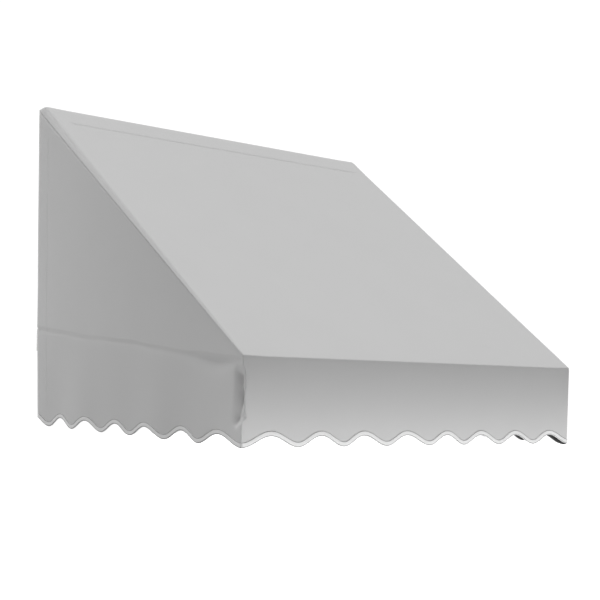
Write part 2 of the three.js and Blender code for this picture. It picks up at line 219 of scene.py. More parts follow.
def square_to(direction):
    """Two unit directions at right angles to one direction and to each other."""
    helper = np.array([0.0, 0.0, 1.0]) if abs(direction[2]) < 0.9 else np.array([1.0, 0.0, 0.0])
    first = unit(np.cross(helper, direction))
    return first, np.cross(direction, first)


galvanised = Finish("galvanised", Metallic=1.0)
steel_place = galvanised.node("ShaderNodeTexCoord").value("Object")
crystal_inputs = {"Vector": steel_place, "Scale": 190.0}
crystals = galvanised.node("ShaderNodeTexVoronoi", {}, crystal_inputs).value("Color")
spangle = galvanised.node("ShaderNodeSeparateXYZ", {}, {0: crystals}).value(0)
bloom = galvanised.noise(steel_place, 35.0, 5.0)
grain = galvanised.noise(steel_place, 900.0, 2.0)
steel_tone = spangle * 0.6 + bloom * 0.4
galvanised.drive("Base Color", galvanised.mix_colors(steel_tone, grey(0.36, -0.01), grey(0.56)))
galvanised.drive("Roughness", 0.30 + spangle * 0.14 + bloom * 0.16)
galvanised.drive("Normal", galvanised.bump(spangle * 0.3 + grain * 0.7, 0.00008))

tube_radius, tube_wall = 0.0127, 0.0012
rim, rim_band = 0.0003, 0.003
tube_names = ["head_rail", "front_bar"]
tube_names += [side + "_" + part for side in ("left", "right") for part in ("rafter", "arm", "upright")]
tube_axes = {name: tube_axis(name) for name in tube_names}


def make_tube(name):
    """A hollow tube: its wall's section, a rectangle with eased corners, turned about the axis."""
    start, end = tube_axes[name]
    along = unit(end - start)
    first, second = square_to(along)
    length = np.linalg.norm(end - start)
    bore = tube_radius - tube_wall
    section = np.array([
        (rim, tube_radius), (rim_band, tube_radius),
        (length - rim_band, tube_radius), (length - rim, tube_radius),
        (length, tube_radius - rim), (length, bore + rim),
        (length - rim, bore), (length - rim_band, bore),
        (rim_band, bore), (rim, bore), (0, bore + rim), (0, tube_radius - rim)])
    angle = np.linspace(0, 2 * math.pi, 48, endpoint=False)[None, :, None]
    radial = first * np.cos(angle) + second * np.sin(angle)
    places = start + section[:, None, :1] * along + section[:, None, 1:] * radial
    tube = closed_grid(name + "_tube", places[::-1], galvanised.material, ring=True)
    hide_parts(name)


for tube_name in tube_names:
    make_tube(tube_name)


# ---------------------------------------------------------------------------------------------------
# Castings. Each corner is an aluminium die casting: a ball where the tubes' axes meet, with a cored
# spigot driven into each tube. The two wall feet have a flange with two holes for wall screws as well.

cast = Finish("cast_aluminium", Metallic=0.9)
cast_place = cast.node("ShaderNodeTexCoord").value("Object")
pits = cast.noise(cast_place, 700.0, 4.0)
flow = cast.noise(cast_place, 60.0, 3.0)
cast.drive("Base Color", cast.mix_colors(flow * 0.6 + pits * 0.4, grey(0.36, 0.01), grey(0.54)))
cast.drive("Roughness", 0.48 + pits * 0.2)
cast.drive("Normal", cast.bump(pits * 0.8 + flow * 0.2, 0.0003))


def round_off(node, material, voxel, passes):
    """Keeps a CAD node under a finish of its own. Its triangles are joined, remade as an even skin of
    small squares, and smoothed, which eases its edges as casting and tumbling do."""
    weld = node.modifiers.new("joined", "WELD")
    weld.merge_threshold = 0.00002
    skin = node.modifiers.new("skin", "REMESH")
    skin.mode = "VOXEL"
    skin.voxel_size = voxel
    skin.use_smooth_shade = True
    smooth = node.modifiers.new("eased", "SMOOTH")
    smooth.factor = 0.5
    smooth.iterations = passes
    for slot in node.material_slots:
        slot.material = material


for side in ("left", "right"):
    for part in ("head_corner", "front_corner", "wall_foot"):
        round_off(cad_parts[side + "_" + part], cast.material, 0.0010, 3)


# ---------------------------------------------------------------------------------------------------
# Head brackets. Three 40 mm lengths of one aluminium extrusion are screwed to the wall through two holes
# each. The head rail drops into their saddles, and a screw through the front keeps it there.

extruded = Finish("extruded_aluminium", Metallic=1.0)
extruded_place = extruded.node("ShaderNodeTexCoord").value("Object")
along_the_die = {"Vector": extruded_place, "Scale": (0.02, 1.0, 1.0)}
drawn = extruded.node("ShaderNodeMapping", {}, along_the_die).value("Vector")
die_lines = extruded.noise(drawn, 1400.0, 3.0)
haze = extruded.noise(extruded_place, 50.0, 4.0)
extruded.drive("Base Color", extruded.mix_colors(die_lines * 0.5 + haze * 0.5, grey(0.46), grey(0.60)))
extruded.drive("Roughness", 0.26 + die_lines * 0.16)
extruded.drive("Normal", extruded.bump(die_lines, 0.00006))

bracket_names = ["head_bracket_left", "head_bracket_middle", "head_bracket_right"]
for bracket_name in bracket_names:
    round_off(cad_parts[bracket_name], extruded.material, 0.0006, 2)


# ---------------------------------------------------------------------------------------------------
# Screws. Nineteen self-drilling steel screws with a hexagon washer head, bright zinc plated: two hold
# each tube on its spigots, from the side that doesn't show, and one holds the head rail in each bracket.

zinc = Finish("zinc_plate", Metallic=1.0)
zinc_place = zinc.node("ShaderNodeTexCoord").value("Object")
passivation = zinc.noise(zinc_place, 260.0, 2.0)
tumbling = zinc.noise(zinc_place, 2200.0, 2.0)
zinc.drive("Base Color", zinc.mix_colors(passivation, (0.62, 0.65, 0.68, 1), (0.72, 0.70, 0.62, 1)))
zinc.drive("Roughness", 0.22 + tumbling * 0.18)
zinc.drive("Normal", zinc.bump(tumbling, 0.00004))

head_height = 0.0048
bracket_shank = 0.76
# Height above the seat and radius in millimetres, and how far the outline is a hexagon, from the
# shank's tip to the head.
screw_rows = np.array([
    (-8.3, 0.6, 0), (-7.6, 2.2, 0), (-7.0, 2.4, 0), (-0.3, 2.4, 0), (0.0, 2.7, 0), (0.02, 4.9, 0),
    (0.2, 5.2, 0), (0.8, 5.2, 0), (1.1, 5.0, 0), (1.3, 4.7, 0.8), (1.5, 4.6, 1), (4.1, 4.6, 1),
    (4.5, 4.4, 1), (4.75, 4.0, 0.7), (4.8, 3.2, 0), (4.6, 2.6, 0), (4.4, 1.2, 0),
]) * np.array([0.001, 0.001, 1])


def make_screw(name, side, shank_share):
    """A screw whose head stands out along a direction: rings of radius r, each bent towards a hexagon,
    r * cos 30 / cos(angle from the flat's middle). The shank's length is scaled by its share."""
    points = node_points(name)
    reach = points @ side
    seat = points[reach > reach.max() - 1e-5].mean(axis=0) - head_height * side
    first, second = square_to(side)
    angle = np.linspace(0, 2 * math.pi, 36, endpoint=False)[None, :]
    from_flat = np.mod(angle, math.pi / 3) - math.pi / 6
    hexagon = math.cos(math.pi / 6) / np.cos(from_flat)
    radius = screw_rows[:, 1:2] * (1 + screw_rows[:, 2:3] * (hexagon - 1))
    height = np.where(screw_rows[:, :1] < -0.001, screw_rows[:, :1] * shank_share, screw_rows[:, :1])
    radial = first * np.cos(angle)[..., None] + second * np.sin(angle)[..., None]
    places = seat + height[..., None] * side + radius[..., None] * radial
    screw = closed_grid(name + "_hex", places[::-1], zinc.material)
    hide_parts(name)


inward = {"left": np.array([1.0, 0, 0]), "right": np.array([-1.0, 0, 0])}
for tube_name in tube_names:
    side = inward.get(tube_name.split("_")[0])
    if tube_name == "head_rail":
        side = np.array([0, 0, -1.0])
    if tube_name == "front_bar":
        side = np.array([0, 1.0, 0])
    make_screw(tube_name + "_screw_a", side, 1.0)
    make_screw(tube_name + "_screw_b", side, 1.0)
for bracket_name in bracket_names:
    make_screw(bracket_name + "_screw", np.array([0, -math.sqrt(0.5), -math.sqrt(0.5)]), bracket_shank)


# ---------------------------------------------------------------------------------------------------
# Cover cloth. It is a woven polyester canvas, light grey outside. Its inside is near-black: painted
# shade, standing for the shade under the awning. Its threads are 0.7 mm apart and its face is quite
# matt.

def woven(name, pale, dark, pitch, relief, roughness, **uniform):
    """A plain weave laid out in the piece's UV map, which is in metres: the height at a place is the
    product of a wave across and a wave along, so the warp and the weft pass over each other."""
    finish = Finish(name, Roughness=roughness, **uniform)
    place = finish.node("ShaderNodeUVMap", {"uv_map": "cloth"}).value("UV")
    split = finish.node("ShaderNodeSeparateXYZ", {}, {0: place})
    turn = 2 * math.pi / pitch
    across = finish.node("ShaderNodeMath", {"operation": "SINE"}, {0: split.value(0) * turn}).value(0)
    along = finish.node("ShaderNodeMath", {"operation": "SINE"}, {0: split.value(1) * turn}).value(0)
    threads = across * along * 0.5 + 0.5
    slubs = finish.noise(place, 420.0, 3.0)
    clouds = finish.noise(place, 5.0, 4.0)
    tone = threads * 0.35 + slubs * 0.35 + clouds * 0.3
    finish.drive("Base Color", finish.mix_colors(tone, dark, pale))
    finish.drive("Roughness", roughness - 0.08 + slubs * 0.16)
    finish.drive("Normal", finish.bump(threads * 0.7 + slubs * 0.3, relief))
    return finish.material


cloth_face = woven("cloth_face", grey(0.56), grey(0.50), 0.0014, 0.00012, 0.82, Sheen_Weight=0.08)
# The back is near-black as painted shade: the shade inside the awning is painted into its colour.
cloth_back_painted_shade = woven("cloth_back_painted_shade", grey(0.032), grey(0.022), 0.0014, 0.00008, 0.7)


# ---------------------------------------------------------------------------------------------------
# Top panel. One piece of cloth makes the front valance and the roof: it hangs from the front bar,
# is drawn up over it to the head rail, goes round the rail and is sewn back under the roof as a pocket.

wing_low, wing_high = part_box("left_wing")
rail_low, rail_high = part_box("head_rail")
bar_low, bar_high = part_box("front_bar")
half_width = -wing_low.x
wall_y = wing_high.y
rail_y, rail_z = (rail_low.y + rail_high.y) / 2, (rail_low.z + rail_high.z) / 2
bar_y, bar_z = (bar_low.y + bar_high.y) / 2, (bar_low.z + bar_high.z) / 2
slope = math.atan2(rail_z - bar_z, rail_y - bar_y)
roof_normal = math.pi / 2 + slope
down_slope = math.pi + slope
hem_low = wing_low.z
tube_ride, casting_ride = 0.0157, 0.0167
face_y = bar_y - casting_ride
cloth_thickness = 0.0008
pocket_length = 0.070
edge_above_fold = 0.001
front_drop = 0.007
scallop_depth = 0.027

# The scallops were marked out by hand, so their low and high points aren't evenly spaced: distances
# from the left front corner in millimetres, low point and high point by turns.
front_marks = (0, 90, 176, 249, 323, 390, 473, 545, 631, 697, 765, 835, 913, 980, 1058, 1130, 1220)


def scallop_rise(distance, marks):
    """Height of the hem above its low points: a cosine of a phase that grows by half a turn from each
    mark to the next."""
    phase = np.interp(distance, np.array(marks) / 1000, np.arange(len(marks)) * math.pi)
    return scallop_depth * (1 - np.cos(phase)) / 2


def front_hem(x):
    """Height of the valance's raw edge, just above the fold of its tape. It is 7 mm lower at its right
    end."""
    distance = x + half_width
    level = hem_low + edge_above_fold - front_drop * distance / (2 * half_width)
    return level + scallop_rise(distance, front_marks)


def ride_height(x):
    """Distance of the cloth's face from the bars' axes: it lies a little off the tubes, and is held
    out where it passes over the corner castings."""
    from_edge = half_width - np.abs(x)
    return tube_ride + 0.0010 * np.exp(-(from_edge / 0.06) ** 2)


def eave_ride(x):
    """The same for the roof just above the eave: there it is drawn down onto the front bar's straps, and
    lifted by the castings at its ends."""
    from_edge = half_width - np.abs(x)
    return 0.0150 + 0.0017 * np.exp(-(from_edge / 0.05) ** 2)


# The side seams run from the eave's corners to the wall level with the rail, so the roof's edges,
# sharp at the eave, roll further over the rafters the nearer they come to the wall.
seam_back, seam_lift = 0.002, 0.0060
seam_front_y, seam_front_z = face_y + seam_back, bar_z + seam_lift
seam_wall_z = rail_z + 0.0067
seam_pitch = (seam_wall_z - seam_front_z) / (wall_y - seam_front_y)


def seam_height(y):
    """Height of a side seam: a straight line from the eave's corner to the wall."""
    return seam_front_z + (y - seam_front_y) * seam_pitch


def arm_crease(distance):
    """Height of the arm's crease in a wing, without its waves, at a distance behind the front."""
    return bar_z + 0.0015 + 0.092 * distance


def flare(y, z):
    """How far a side stands outside its flat plane: nothing at the front, and at the wall 8 mm out at
    the seam, 1 mm in at the arm and 14 mm in at the hem, where nothing holds the skirt's corner out."""
    back = np.clip((y - face_y) / (wall_y - face_y), 0, 1)
    arm_z = arm_crease(y - face_y)
    high = np.clip((seam_height(y) - z) / (seam_height(y) - arm_z), 0, 1)
    return back * (0.008 - 0.009 * high - 0.046 * np.clip(arm_z - z, 0, None))


corner_radius = 0.0025
fold_radius = 0.0040


def inset(z, side):
    """How far in from the side the upright fold between valance and wing stands. At the left it is
    slack: pulled back by 9 mm below the corner casting, a little more low down, and drawn out sharp
    above the hem. At the right it leans in by 4.5 mm towards the hem."""
    height = z - hem_low
    slack = 1 / (1 + np.exp((0.062 - height) / 0.0015))
    bulge = 0.0045 * np.exp(-((height - 0.069) / 0.007) ** 2)
    covered = np.clip((0.192 - height) / 0.014, 0, 1)
    folded = slack * covered ** 0.7 * (0.0088 + bulge + 0.0010 * np.sin(95 * height))
    leaning = 0.0045 * np.clip(1 - height / 0.207, 0, 1)
    return np.where(np.asarray(side) < 0, folded, leaning)


def grid_piece(name, places, uv, keep, materials, thickness):
    """A sheet from a grid of places (rows, columns, 3), with its UV map in metres. The faces that keep
    lets stand are made, and a Solidify modifier grows the sheet inwards from its face."""
    rows, columns = places.shape[:2]
    number = np.arange(rows * columns).reshape(rows, columns)
    corners = np.stack([number[:-1, :-1], number[:-1, 1:], number[1:, 1:], number[1:, :-1]], axis=-1)
    quads = corners[keep]
    used = np.unique(quads)
    renumber = np.zeros(rows * columns, int)
    renumber[used] = np.arange(len(used))
    quads = renumber[quads]
    mesh = bpy.data.meshes.new(name)
    mesh.from_pydata(places.reshape(-1, 3)[used].tolist(), [], quads.tolist())
    layer = mesh.uv_layers.new(name="cloth")
    layer.data.foreach_set("uv", uv.reshape(-1, 2)[used][quads.reshape(-1)].reshape(-1))
    mesh.polygons.foreach_set("use_smooth", np.ones(len(quads), bool))
    piece = bpy.data.objects.new(name, mesh)
    bpy.context.scene.collection.objects.link(piece)
    for material in materials:
        mesh.materials.append(material)
    solid = piece.modifiers.new("thickness", "SOLIDIFY")
    solid.thickness = thickness
    solid.offset = -1.0
    solid.use_even_offset = True
    solid.material_offset = 1
    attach(piece, "root")
    return piece


# Rows run from the hem to the sewn end of the pocket. Each has an anchor line and a normal's angle.
valance_rows = np.linspace(0.0, 1.0, 40)
fold_angles = np.linspace(math.pi, roof_normal, 12)[1:]
roof_rows = np.linspace(0.0, 1.0, 64)[1:]
pinch = math.atan2(0.0147, pocket_length)
pocket_normal = down_slope + math.pi / 2 - 2 * pinch - 2 * math.pi
wrap_angles = np.linspace(roof_normal, pocket_normal, 25)[1:]
tail_rows = np.linspace(0.0, 1.0, 9)[1:]
fold_start = len(valance_rows)
roof_start = fold_start + len(fold_angles)
wrap_start = roof_start + len(roof_rows)

row_angle = np.concatenate([
    np.full(fold_start, math.pi), fold_angles, np.full(len(roof_rows), roof_normal),
    wrap_angles, np.full(len(tail_rows), pocket_normal),
])
tail_along = tail_rows * (pocket_length - 0.003)
tail_turn = pocket_normal - math.pi / 2
anchor_y = np.concatenate([
    np.full(roof_start, bar_y), bar_y + (rail_y - bar_y) * roof_rows,
    np.full(len(wrap_angles), rail_y), rail_y + tail_along * math.cos(tail_turn),
])
anchor_z = np.concatenate([
    np.full(roof_start, bar_z), bar_z + (rail_z - bar_z) * roof_rows,
    np.full(len(wrap_angles), rail_z), rail_z + tail_along * math.sin(tail_turn),
])
up_roof = np.concatenate([np.zeros(roof_start), roof_rows, np.ones(len(wrap_angles) + len(tail_rows))])

roll_steps = np.linspace(0.0, math.pi / 2, 9)[1:]
flat_columns = np.linspace(-1.0, 1.0, 193)
column_flat = np.concatenate([-np.ones(8), flat_columns, np.ones(8)])
column_roll = np.sin(np.concatenate([roll_steps[::-1], np.zeros(len(flat_columns)), roll_steps]))
column_side = np.concatenate([-np.ones(8), np.zeros(len(flat_columns)), np.ones(8)])


def top_panel_places():
    """Places of the top panel. The flat part is the anchor plus the ride height along the row's normal.
    From there each side edge drops to its seam along a parabola, or along a quarter circle at the
    valance: place = flat + (seam - flat) * drop."""
    row = np.arange(len(row_angle))[:, None]
    valance = row < fold_start
    share = np.concatenate([valance_rows, np.ones(len(row_angle) - fold_start)])[:, None]
    row_z = hem_low + (bar_z - hem_low) * share
    reach = np.where(valance, corner_radius, 0.006 + 0.013 * up_roof[:, None])
    near_y = np.clip(anchor_y[:, None], None, wall_y)
    out_at_seam = np.where(valance, -inset(row_z, column_flat), flare(near_y, seam_height(near_y)))
    flat_end = half_width + out_at_seam - reach
    x = column_flat * flat_end + column_side * reach * column_roll

    depth = 1 - share
    hang = -0.0040 * np.sin(math.pi * depth)
    hang = hang + 0.0016 * depth * np.sin(13.4 * x + 1.0) * np.sin(4.8 * x + 0.4)
    hang = hang * np.clip((half_width - np.abs(x)) / 0.08, 0, 1)
    across = np.clip(1 - (x / half_width) ** 2, 0, 1)
    sag = np.sin(math.pi * up_roof)[:, None] * across
    on_roof = eave_ride(x) + (ride_height(x) - eave_ride(x)) * up_roof[:, None]
    out = np.where(row < roof_start, ride_height(x) + hang, on_roof - 0.0035 * sag)

    hem = front_hem(x)
    base_z = np.where(valance, hem + (bar_z - hem) * share, anchor_z[:, None])
    y = anchor_y[:, None] + out * np.cos(row_angle)[:, None]
    z = base_z + out * np.sin(row_angle)[:, None]

    # The fold at the eave was pressed before sewing: its small circle touches the valance's plane and
    # the roof's.
    fold = (row >= fold_start) & (row < roof_start)
    fold_front = ride_height(x) + hang - fold_radius
    fold_rise = (eave_ride(x) - fold_radius + math.cos(roof_normal) * fold_front) / math.sin(roof_normal)
    y = np.where(fold, bar_y - fold_front + fold_radius * np.cos(row_angle)[:, None], y)
    z = np.where(fold, bar_z + fold_rise + fold_radius * np.sin(row_angle)[:, None], z)

    # Where each row's edge meets the seam: along the row's normal on the roof, straight back from the
    # valance, and round the rail in even steps to the wall.
    normal_y, normal_z = np.cos(row_angle)[:, None], np.sin(row_angle)[:, None]
    seam_ride = (seam_height(anchor_y) - anchor_z)[:, None] / (normal_z - seam_pitch * normal_y)
    edge_y = anchor_y[:, None] + seam_ride * normal_y
    last_y = edge_y[wrap_start - 1]
    step = np.clip((row - wrap_start + 1) / 8, 0, 1)
    edge_y = np.where(row >= wrap_start, last_y + (wall_y - 0.0002 - last_y) * step, edge_y)
    fold_share = np.clip((row - fold_start + 1) / len(fold_angles), 0, 1)
    eave_y = face_y + corner_radius * (1 - fold_share) + seam_back * fold_share
    eave_z = bar_z + seam_lift * fold_share
    edge_y = np.where(row < roof_start, eave_y, edge_y)
    edge_z = np.where(row < roof_start, eave_z, seam_height(edge_y))
    edge_y = np.where(valance, y + reach, edge_y)
    edge_z = np.where(valance, z, edge_z)
    parabola = np.where(row < roof_start, 0.0, np.clip(up_roof[:, None] * 8, 0, 1))
    tighter = 2 + 1.5 * np.clip((row - wrap_start + 6) / 6, 0, 1)
    turned = np.clip(column_roll, 0, 1)
    drop = parabola * turned ** tighter + (1 - parabola) * (1 - np.sqrt(1 - turned ** 2))
    return np.stack([x, y + (edge_y - y) * drop, z + (edge_z - z) * drop], axis=-1)


def along_and_across(places):
    """UV in metres: u is the length along the row from its middle, v the length up the columns."""
    across = np.linalg.norm(np.diff(places, axis=1), axis=-1).cumsum(axis=1)
    across = np.pad(across, ((0, 0), (1, 0)))
    across -= across[:, [across.shape[1] // 2]]
    along = np.linalg.norm(np.diff(places, axis=0), axis=-1).cumsum(axis=0)
    along = np.pad(along, ((1, 0), (0, 0)))
    return np.stack([across, along - along[[-1], :]], axis=-1)


top_places = top_panel_places()
quad_x = (top_places[:-1, :-1, 0] + top_places[1:, 1:, 0]) / 2
quad_row = np.arange(quad_x.shape[0])[:, None]
bracket_boxes = [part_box(bracket_name) for bracket_name in bracket_names]
bracket_x = [(low.x + high.x) / 2 for low, high in bracket_boxes]
corner_notch, bracket_notch = 0.062, 0.023
at_corner = np.abs(quad_x) > half_width - corner_notch
at_bracket = np.zeros_like(at_corner)
for x in bracket_x:
    at_bracket |= np.abs(quad_x - x) < bracket_notch

# The wrap round the rail is notched where a bracket or a corner casting holds the rail.
keep = ~((at_bracket & (quad_row >= wrap_start + 7)) | (at_corner & (quad_row >= wrap_start + 10)))
top_uv = along_and_across(top_places)
top_panel = grid_piece(
    "roof_and_valance", top_places, top_uv, keep, [cloth_face, cloth_back_painted_shade], cloth_thickness)
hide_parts("top_panel")


# ---------------------------------------------------------------------------------------------------
# Wings. A wing is a flat piece of cloth, sewn to the top panel's edge: the triangle between rafter,
# arm and upright, and below the arm a loose skirt. Its back edge is hemmed against the wall.

# The wings' scallops are marked out like the front's, from their front corners. The arm's axis meets
# the upright's in the wall foot, a short reach below the upright's end.
left_marks = (0, 92, 174, 246, 317, 402, 480, 548, 621, 697, 772, 842, 905, 985, 1060)
right_marks = (16, 92, 166, 238, 310, 396, 476, 546, 620, 697, 772, 842, 905, 985, 1060)
strap_clearance = 0.0143
foot_reach = 0.0157
foot_z = tube_axes["left_upright"][:, 2].min() - foot_reach


def wing_places(side, seed, start_drop, rise, marks):
    """Places of a wing, front to wall and hem to seam, for the left side. The cloth's distance from
    the flat side is the flare, less a groove under the arm's crease, an upright tuck behind the front
    corner and the slack of the skirt. Its hem starts lower by a drop and rises towards the wall, and
    its wall edge stands off the wall at the height of the foot, 5 mm at the left, 1 mm at the right."""
    columns = np.concatenate([np.linspace(0, 0.075, 31)[:-1], np.linspace(0.075, 1.0, 120)])[None, :]
    rows = np.concatenate([np.linspace(0, 1, 34), 1 + np.linspace(0, 1, 50)[1:]])[:, None]

    def height(distance, seam):
        hem = hem_low + edge_above_fold - start_drop + rise * distance / 0.97
        hem += scallop_rise(distance, marks)
        crease = arm_crease(distance)
        crease += 0.0022 * np.sin(15 * distance + seed) + 0.0010 * np.sin(41 * distance + 2 * seed)
        crease = np.minimum(crease, seam - 0.0022)
        low = hem + (crease - hem) * np.clip(rows, 0, 1) ** 0.9
        high = crease + (seam - crease) * np.clip(rows - 1, 0, 1) ** 1.3
        return np.where(rows <= 1, low, high), crease

    # The front edge follows the valance's upright fold, whose radius changes with height.
    flat_y = face_y + 0.010 + columns * (wall_y - face_y - 0.010)
    z, crease = height(flat_y - face_y, seam_height(flat_y))
    front_y = np.where(rows <= 1, face_y + corner_radius, seam_front_y)
    climb = np.clip(rows - 1, 0, 1) ** 1.3
    front_y = np.where(rows > 1, front_y[33] + (seam_front_y - front_y[33]) * climb, front_y)
    wall_gap = (0.0046 if side < 0 else 0.0010) * np.exp(-((z[:, -1:] + 0.62) / 0.22) ** 2)
    y = front_y + columns * (wall_y - wall_gap - front_y)
    z, crease = height(y - face_y, seam_height(y))
    back = y - face_y
    from_fold = y - front_y
    below = crease - z

    near_front = np.exp(-((back - 0.115) / 0.075) ** 2)
    amount = 0.0025 + 0.0042 * near_front + 0.0005 * np.sin(21 * back + seed)
    wide = 0.0042 + 0.0090 * near_front
    ratio = np.clip(below / wide, 0, None)
    groove = amount * ratio * np.exp(1 - ratio) * np.clip(from_fold / 0.015, 0, 1)
    height_up = z - hem_low
    in_skirt = np.clip((0.187 - height_up) / 0.02, 0, 1) * np.clip((height_up - 0.045) / 0.02, 0, 1)
    centre = 0.021 + 0.003 * np.sin(31 * height_up + seed)
    dimples = 0.78 + 0.34 * np.sin(83 * height_up + 0.9 + seed) * np.sin(37 * height_up + 0.4)
    tuck = 0.0150 * in_skirt * dimples * np.exp(-((back - centre) / 0.0095) ** 2)
    tuck = tuck * np.clip(from_fold / 0.004, 0, 1)
    taper = 0.008 + 0.023 * np.clip((height_up - 0.062) / 0.03, 0, 1)
    if side > 0:
        taper = 0.15
    tuck = tuck + inset(z, side) * np.clip(1 - (back - corner_radius) / taper, 0, 1)
    loose = np.clip(below / 0.22, 0, 1) * np.clip(from_fold / 0.08, 0, 1)
    folds = loose * (0.0026 * np.sin(19 * back + seed) + 0.0013 * np.sin(33 * back + 2.2))
    up_from_crease = np.clip(-below / 0.12, 0, 1) * np.clip((seam_height(y) - z) / 0.15, 0, 1)
    out = flare(y, z) + folds - groove - tuck - 0.0010 * up_from_crease

    # The cloth can't go in further than the arm and its straps let it.
    arm_rise = (foot_z - bar_z) / (rail_y - bar_y)
    from_arm = (z - bar_z - arm_rise * (y - bar_y)) * math.cos(math.atan(arm_rise))
    round_arm = np.sqrt(np.clip(strap_clearance ** 2 - from_arm ** 2, 0, None))
    held_out = round_arm - (casting_ride - cloth_thickness)
    out = np.where(np.abs(from_arm) < strap_clearance, np.maximum(out, held_out), out)
    x = -(half_width - 0.0004 + out)
    return np.stack([x, y, z], axis=-1)


def make_wing(side, node, sign, seed, start_drop, rise, marks):
    """A wing with its wall hem. The right one is worked out as a left one, then
    put across with x changed to -x."""
    places = wing_places(sign, seed, start_drop, rise, marks)[:, ::-1]
    if sign > 0:
        places = (places * np.array([-1, 1, 1]))[:, ::-1]
    uv = along_and_across(places)
    keep = np.ones((places.shape[0] - 1, places.shape[1] - 1), bool)
    wing = grid_piece("wing_" + side, places, uv, keep, [cloth_face, cloth_back_painted_shade], cloth_thickness)
    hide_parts(node)

    # The wall edge is turned in by 22 mm and sewn down.
    columns = 9
    strip = places[:, :columns] if sign < 0 else places[:, -columns:]
    strip = strip + np.array([0.0012 * -sign, 0, 0])
    turned = np.ones((strip.shape[0] - 1, columns - 1), bool)
    hem = grid_piece(
        "wall_hem_" + side, strip, along_and_across(strip), turned, [cloth_face, cloth_back_painted_shade],
        cloth_thickness)
    return places


left_places = make_wing("left", "left_wing", -1, 0.6, 0.0, 0.014, left_marks)
right_places = make_wing("right", "right_wing", 1, 2.9, 0.0105, 0.028, right_marks)


# ---------------------------------------------------------------------------------------------------
# Straps. Nine loops of dark grey polypropylene webbing, 25 mm wide, hold the cover to the frame inside.
# Each goes once round a tube and laps over itself with hook-and-loop tape, on the side that's in reach.

webbing = woven("webbing", grey(0.13), grey(0.085), 0.0022, 0.00025, 0.75)
strap_radius, strap_thick, strap_lap = 0.0135, 0.0013, 0.9
strap_section = np.array([
    (-12.5, -0.2), (-12.1, -0.6), (-9.8, -0.65), (0, -0.6), (9.8, -0.65), (12.1, -0.6), (12.5, -0.2),
    (12.5, 0.2), (12.1, 0.6), (9.8, 0.65), (0, 0.6), (-9.8, 0.65), (-12.1, 0.6), (-12.5, 0.2)]) / 1000


def make_strap(name, tube, lap_side):
    """A tape's section carried round a tube once and a lap more: the radius grows by the tape's
    thickness, in a smooth step, just before the tape meets its own start."""
    start, end = tube_axes[tube]
    along = unit(end - start)
    low, high = (np.array(corner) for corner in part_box(name))
    centre = start + along * (((low + high) / 2 - start) @ along)
    first = unit(lap_side - along * (lap_side @ along))
    second = np.cross(along, first)
    angle = np.linspace(-strap_lap, 2 * math.pi + strap_lap, 97)
    step = np.clip((angle - 2 * math.pi + strap_lap + 0.5) / 0.5, 0, 1)
    radius = strap_radius + (strap_thick + 0.0001) * step * step * (3 - 2 * step)
    radial = first * np.cos(angle)[:, None] + second * np.sin(angle)[:, None]
    middle = centre + radial * radius[:, None]
    across = np.broadcast_to(along, radial.shape)
    places = (
        middle[:, None] + across[:, None] * strap_section[:, :1]
        + radial[:, None] * strap_section[:, 1:])
    strap = closed_grid(name + "_webbing", places[:, ::-1], webbing)
    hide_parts(name)


for which in ("left", "middle", "right"):
    make_strap("front_bar_strap_" + which, "front_bar", np.array([0, 1.0, -1.0]))
for side in ("left", "right"):
    for which in ("arm_strap_rear", "arm_strap_front", "upright_strap_middle"):
        make_strap(side + "_" + which, side + "_" + which.split("_")[0], inward[side])


# ---------------------------------------------------------------------------------------------------
# Hem binding. One tape is folded over the raw scalloped edge of a wing, the valance and the other wing,
# 12 mm deep on each face, and sewn along both its edges. It is pale outside; its inner leg is
# near-black, painted shade for the shade inside the awning.

def along_path(path, values, spacing):
    """Values read at even spacing along a path."""
    length = np.append(0, np.linalg.norm(np.diff(path, axis=0), axis=1).cumsum())
    count = int(length[-1] / spacing)
    at = (np.arange(count) + 0.5) * length[-1] / count
    return np.stack([np.interp(at, length, values[:, k]) for k in range(3)], axis=1)


hem_path = np.concatenate([left_places[0], top_places[0, 1:-1], right_places[0]])
above_hem = np.concatenate([left_places[2], top_places[2, 1:-1], right_places[2]])
binding_step, binding_easings = 0.004, 2
hem_path, above_hem = (along_path(hem_path, values, binding_step) for values in (hem_path, above_hem))
for _ in range(binding_easings):
    hem_path[1:-1] = (hem_path[:-2] + 2 * hem_path[1:-1] + hem_path[2:]) / 4
    above_hem[1:-1] = (above_hem[:-2] + 2 * above_hem[1:-1] + above_hem[2:]) / 4
hem_tangent = unit(np.gradient(hem_path, axis=0))
hem_out = unit(np.cross(hem_tangent, above_hem - hem_path))
hem_up = np.cross(hem_out, hem_tangent)

# The tape's section in millimetres: height above the hem, and distance out from the cloth's face.
tape_section = np.array([
    (11.6, -1.6), (12.0, -1.9), (6.0, -2.1), (1.0, -1.9), (-0.4, -1.5), (-0.9, -0.4), (-0.4, 0.7),
    (1.0, 1.1), (6.0, 1.2), (11.2, 1.0), (12.0, 0.7), (11.6, 0.1), (6.0, 0.2), (0.6, 0.1), (0.3, -0.4),
    (0.6, -0.9), (6.0, -1.0),
]) / 1000


def carried(path, first, second, section):
    """A section carried along a path: place = path + first * a + second * b for each point (a, b)."""
    return path[:, None] + first[:, None] * section[:, :1] + second[:, None] * section[:, 1:]


tape_cloth = woven("tape_cloth", grey(0.80), grey(0.70), 0.0011, 0.00012, 0.75)
# The inner leg's near-black colour is painted shade, like the cloth's back.
tape_back_painted_shade = woven("tape_back_painted_shade", grey(0.035), grey(0.022), 0.0011, 0.00008, 0.7)
binding = closed_grid("hem_binding_tape", carried(hem_path, hem_up, hem_out, tape_section), tape_cloth)
binding.data.materials.append(tape_back_painted_shade)
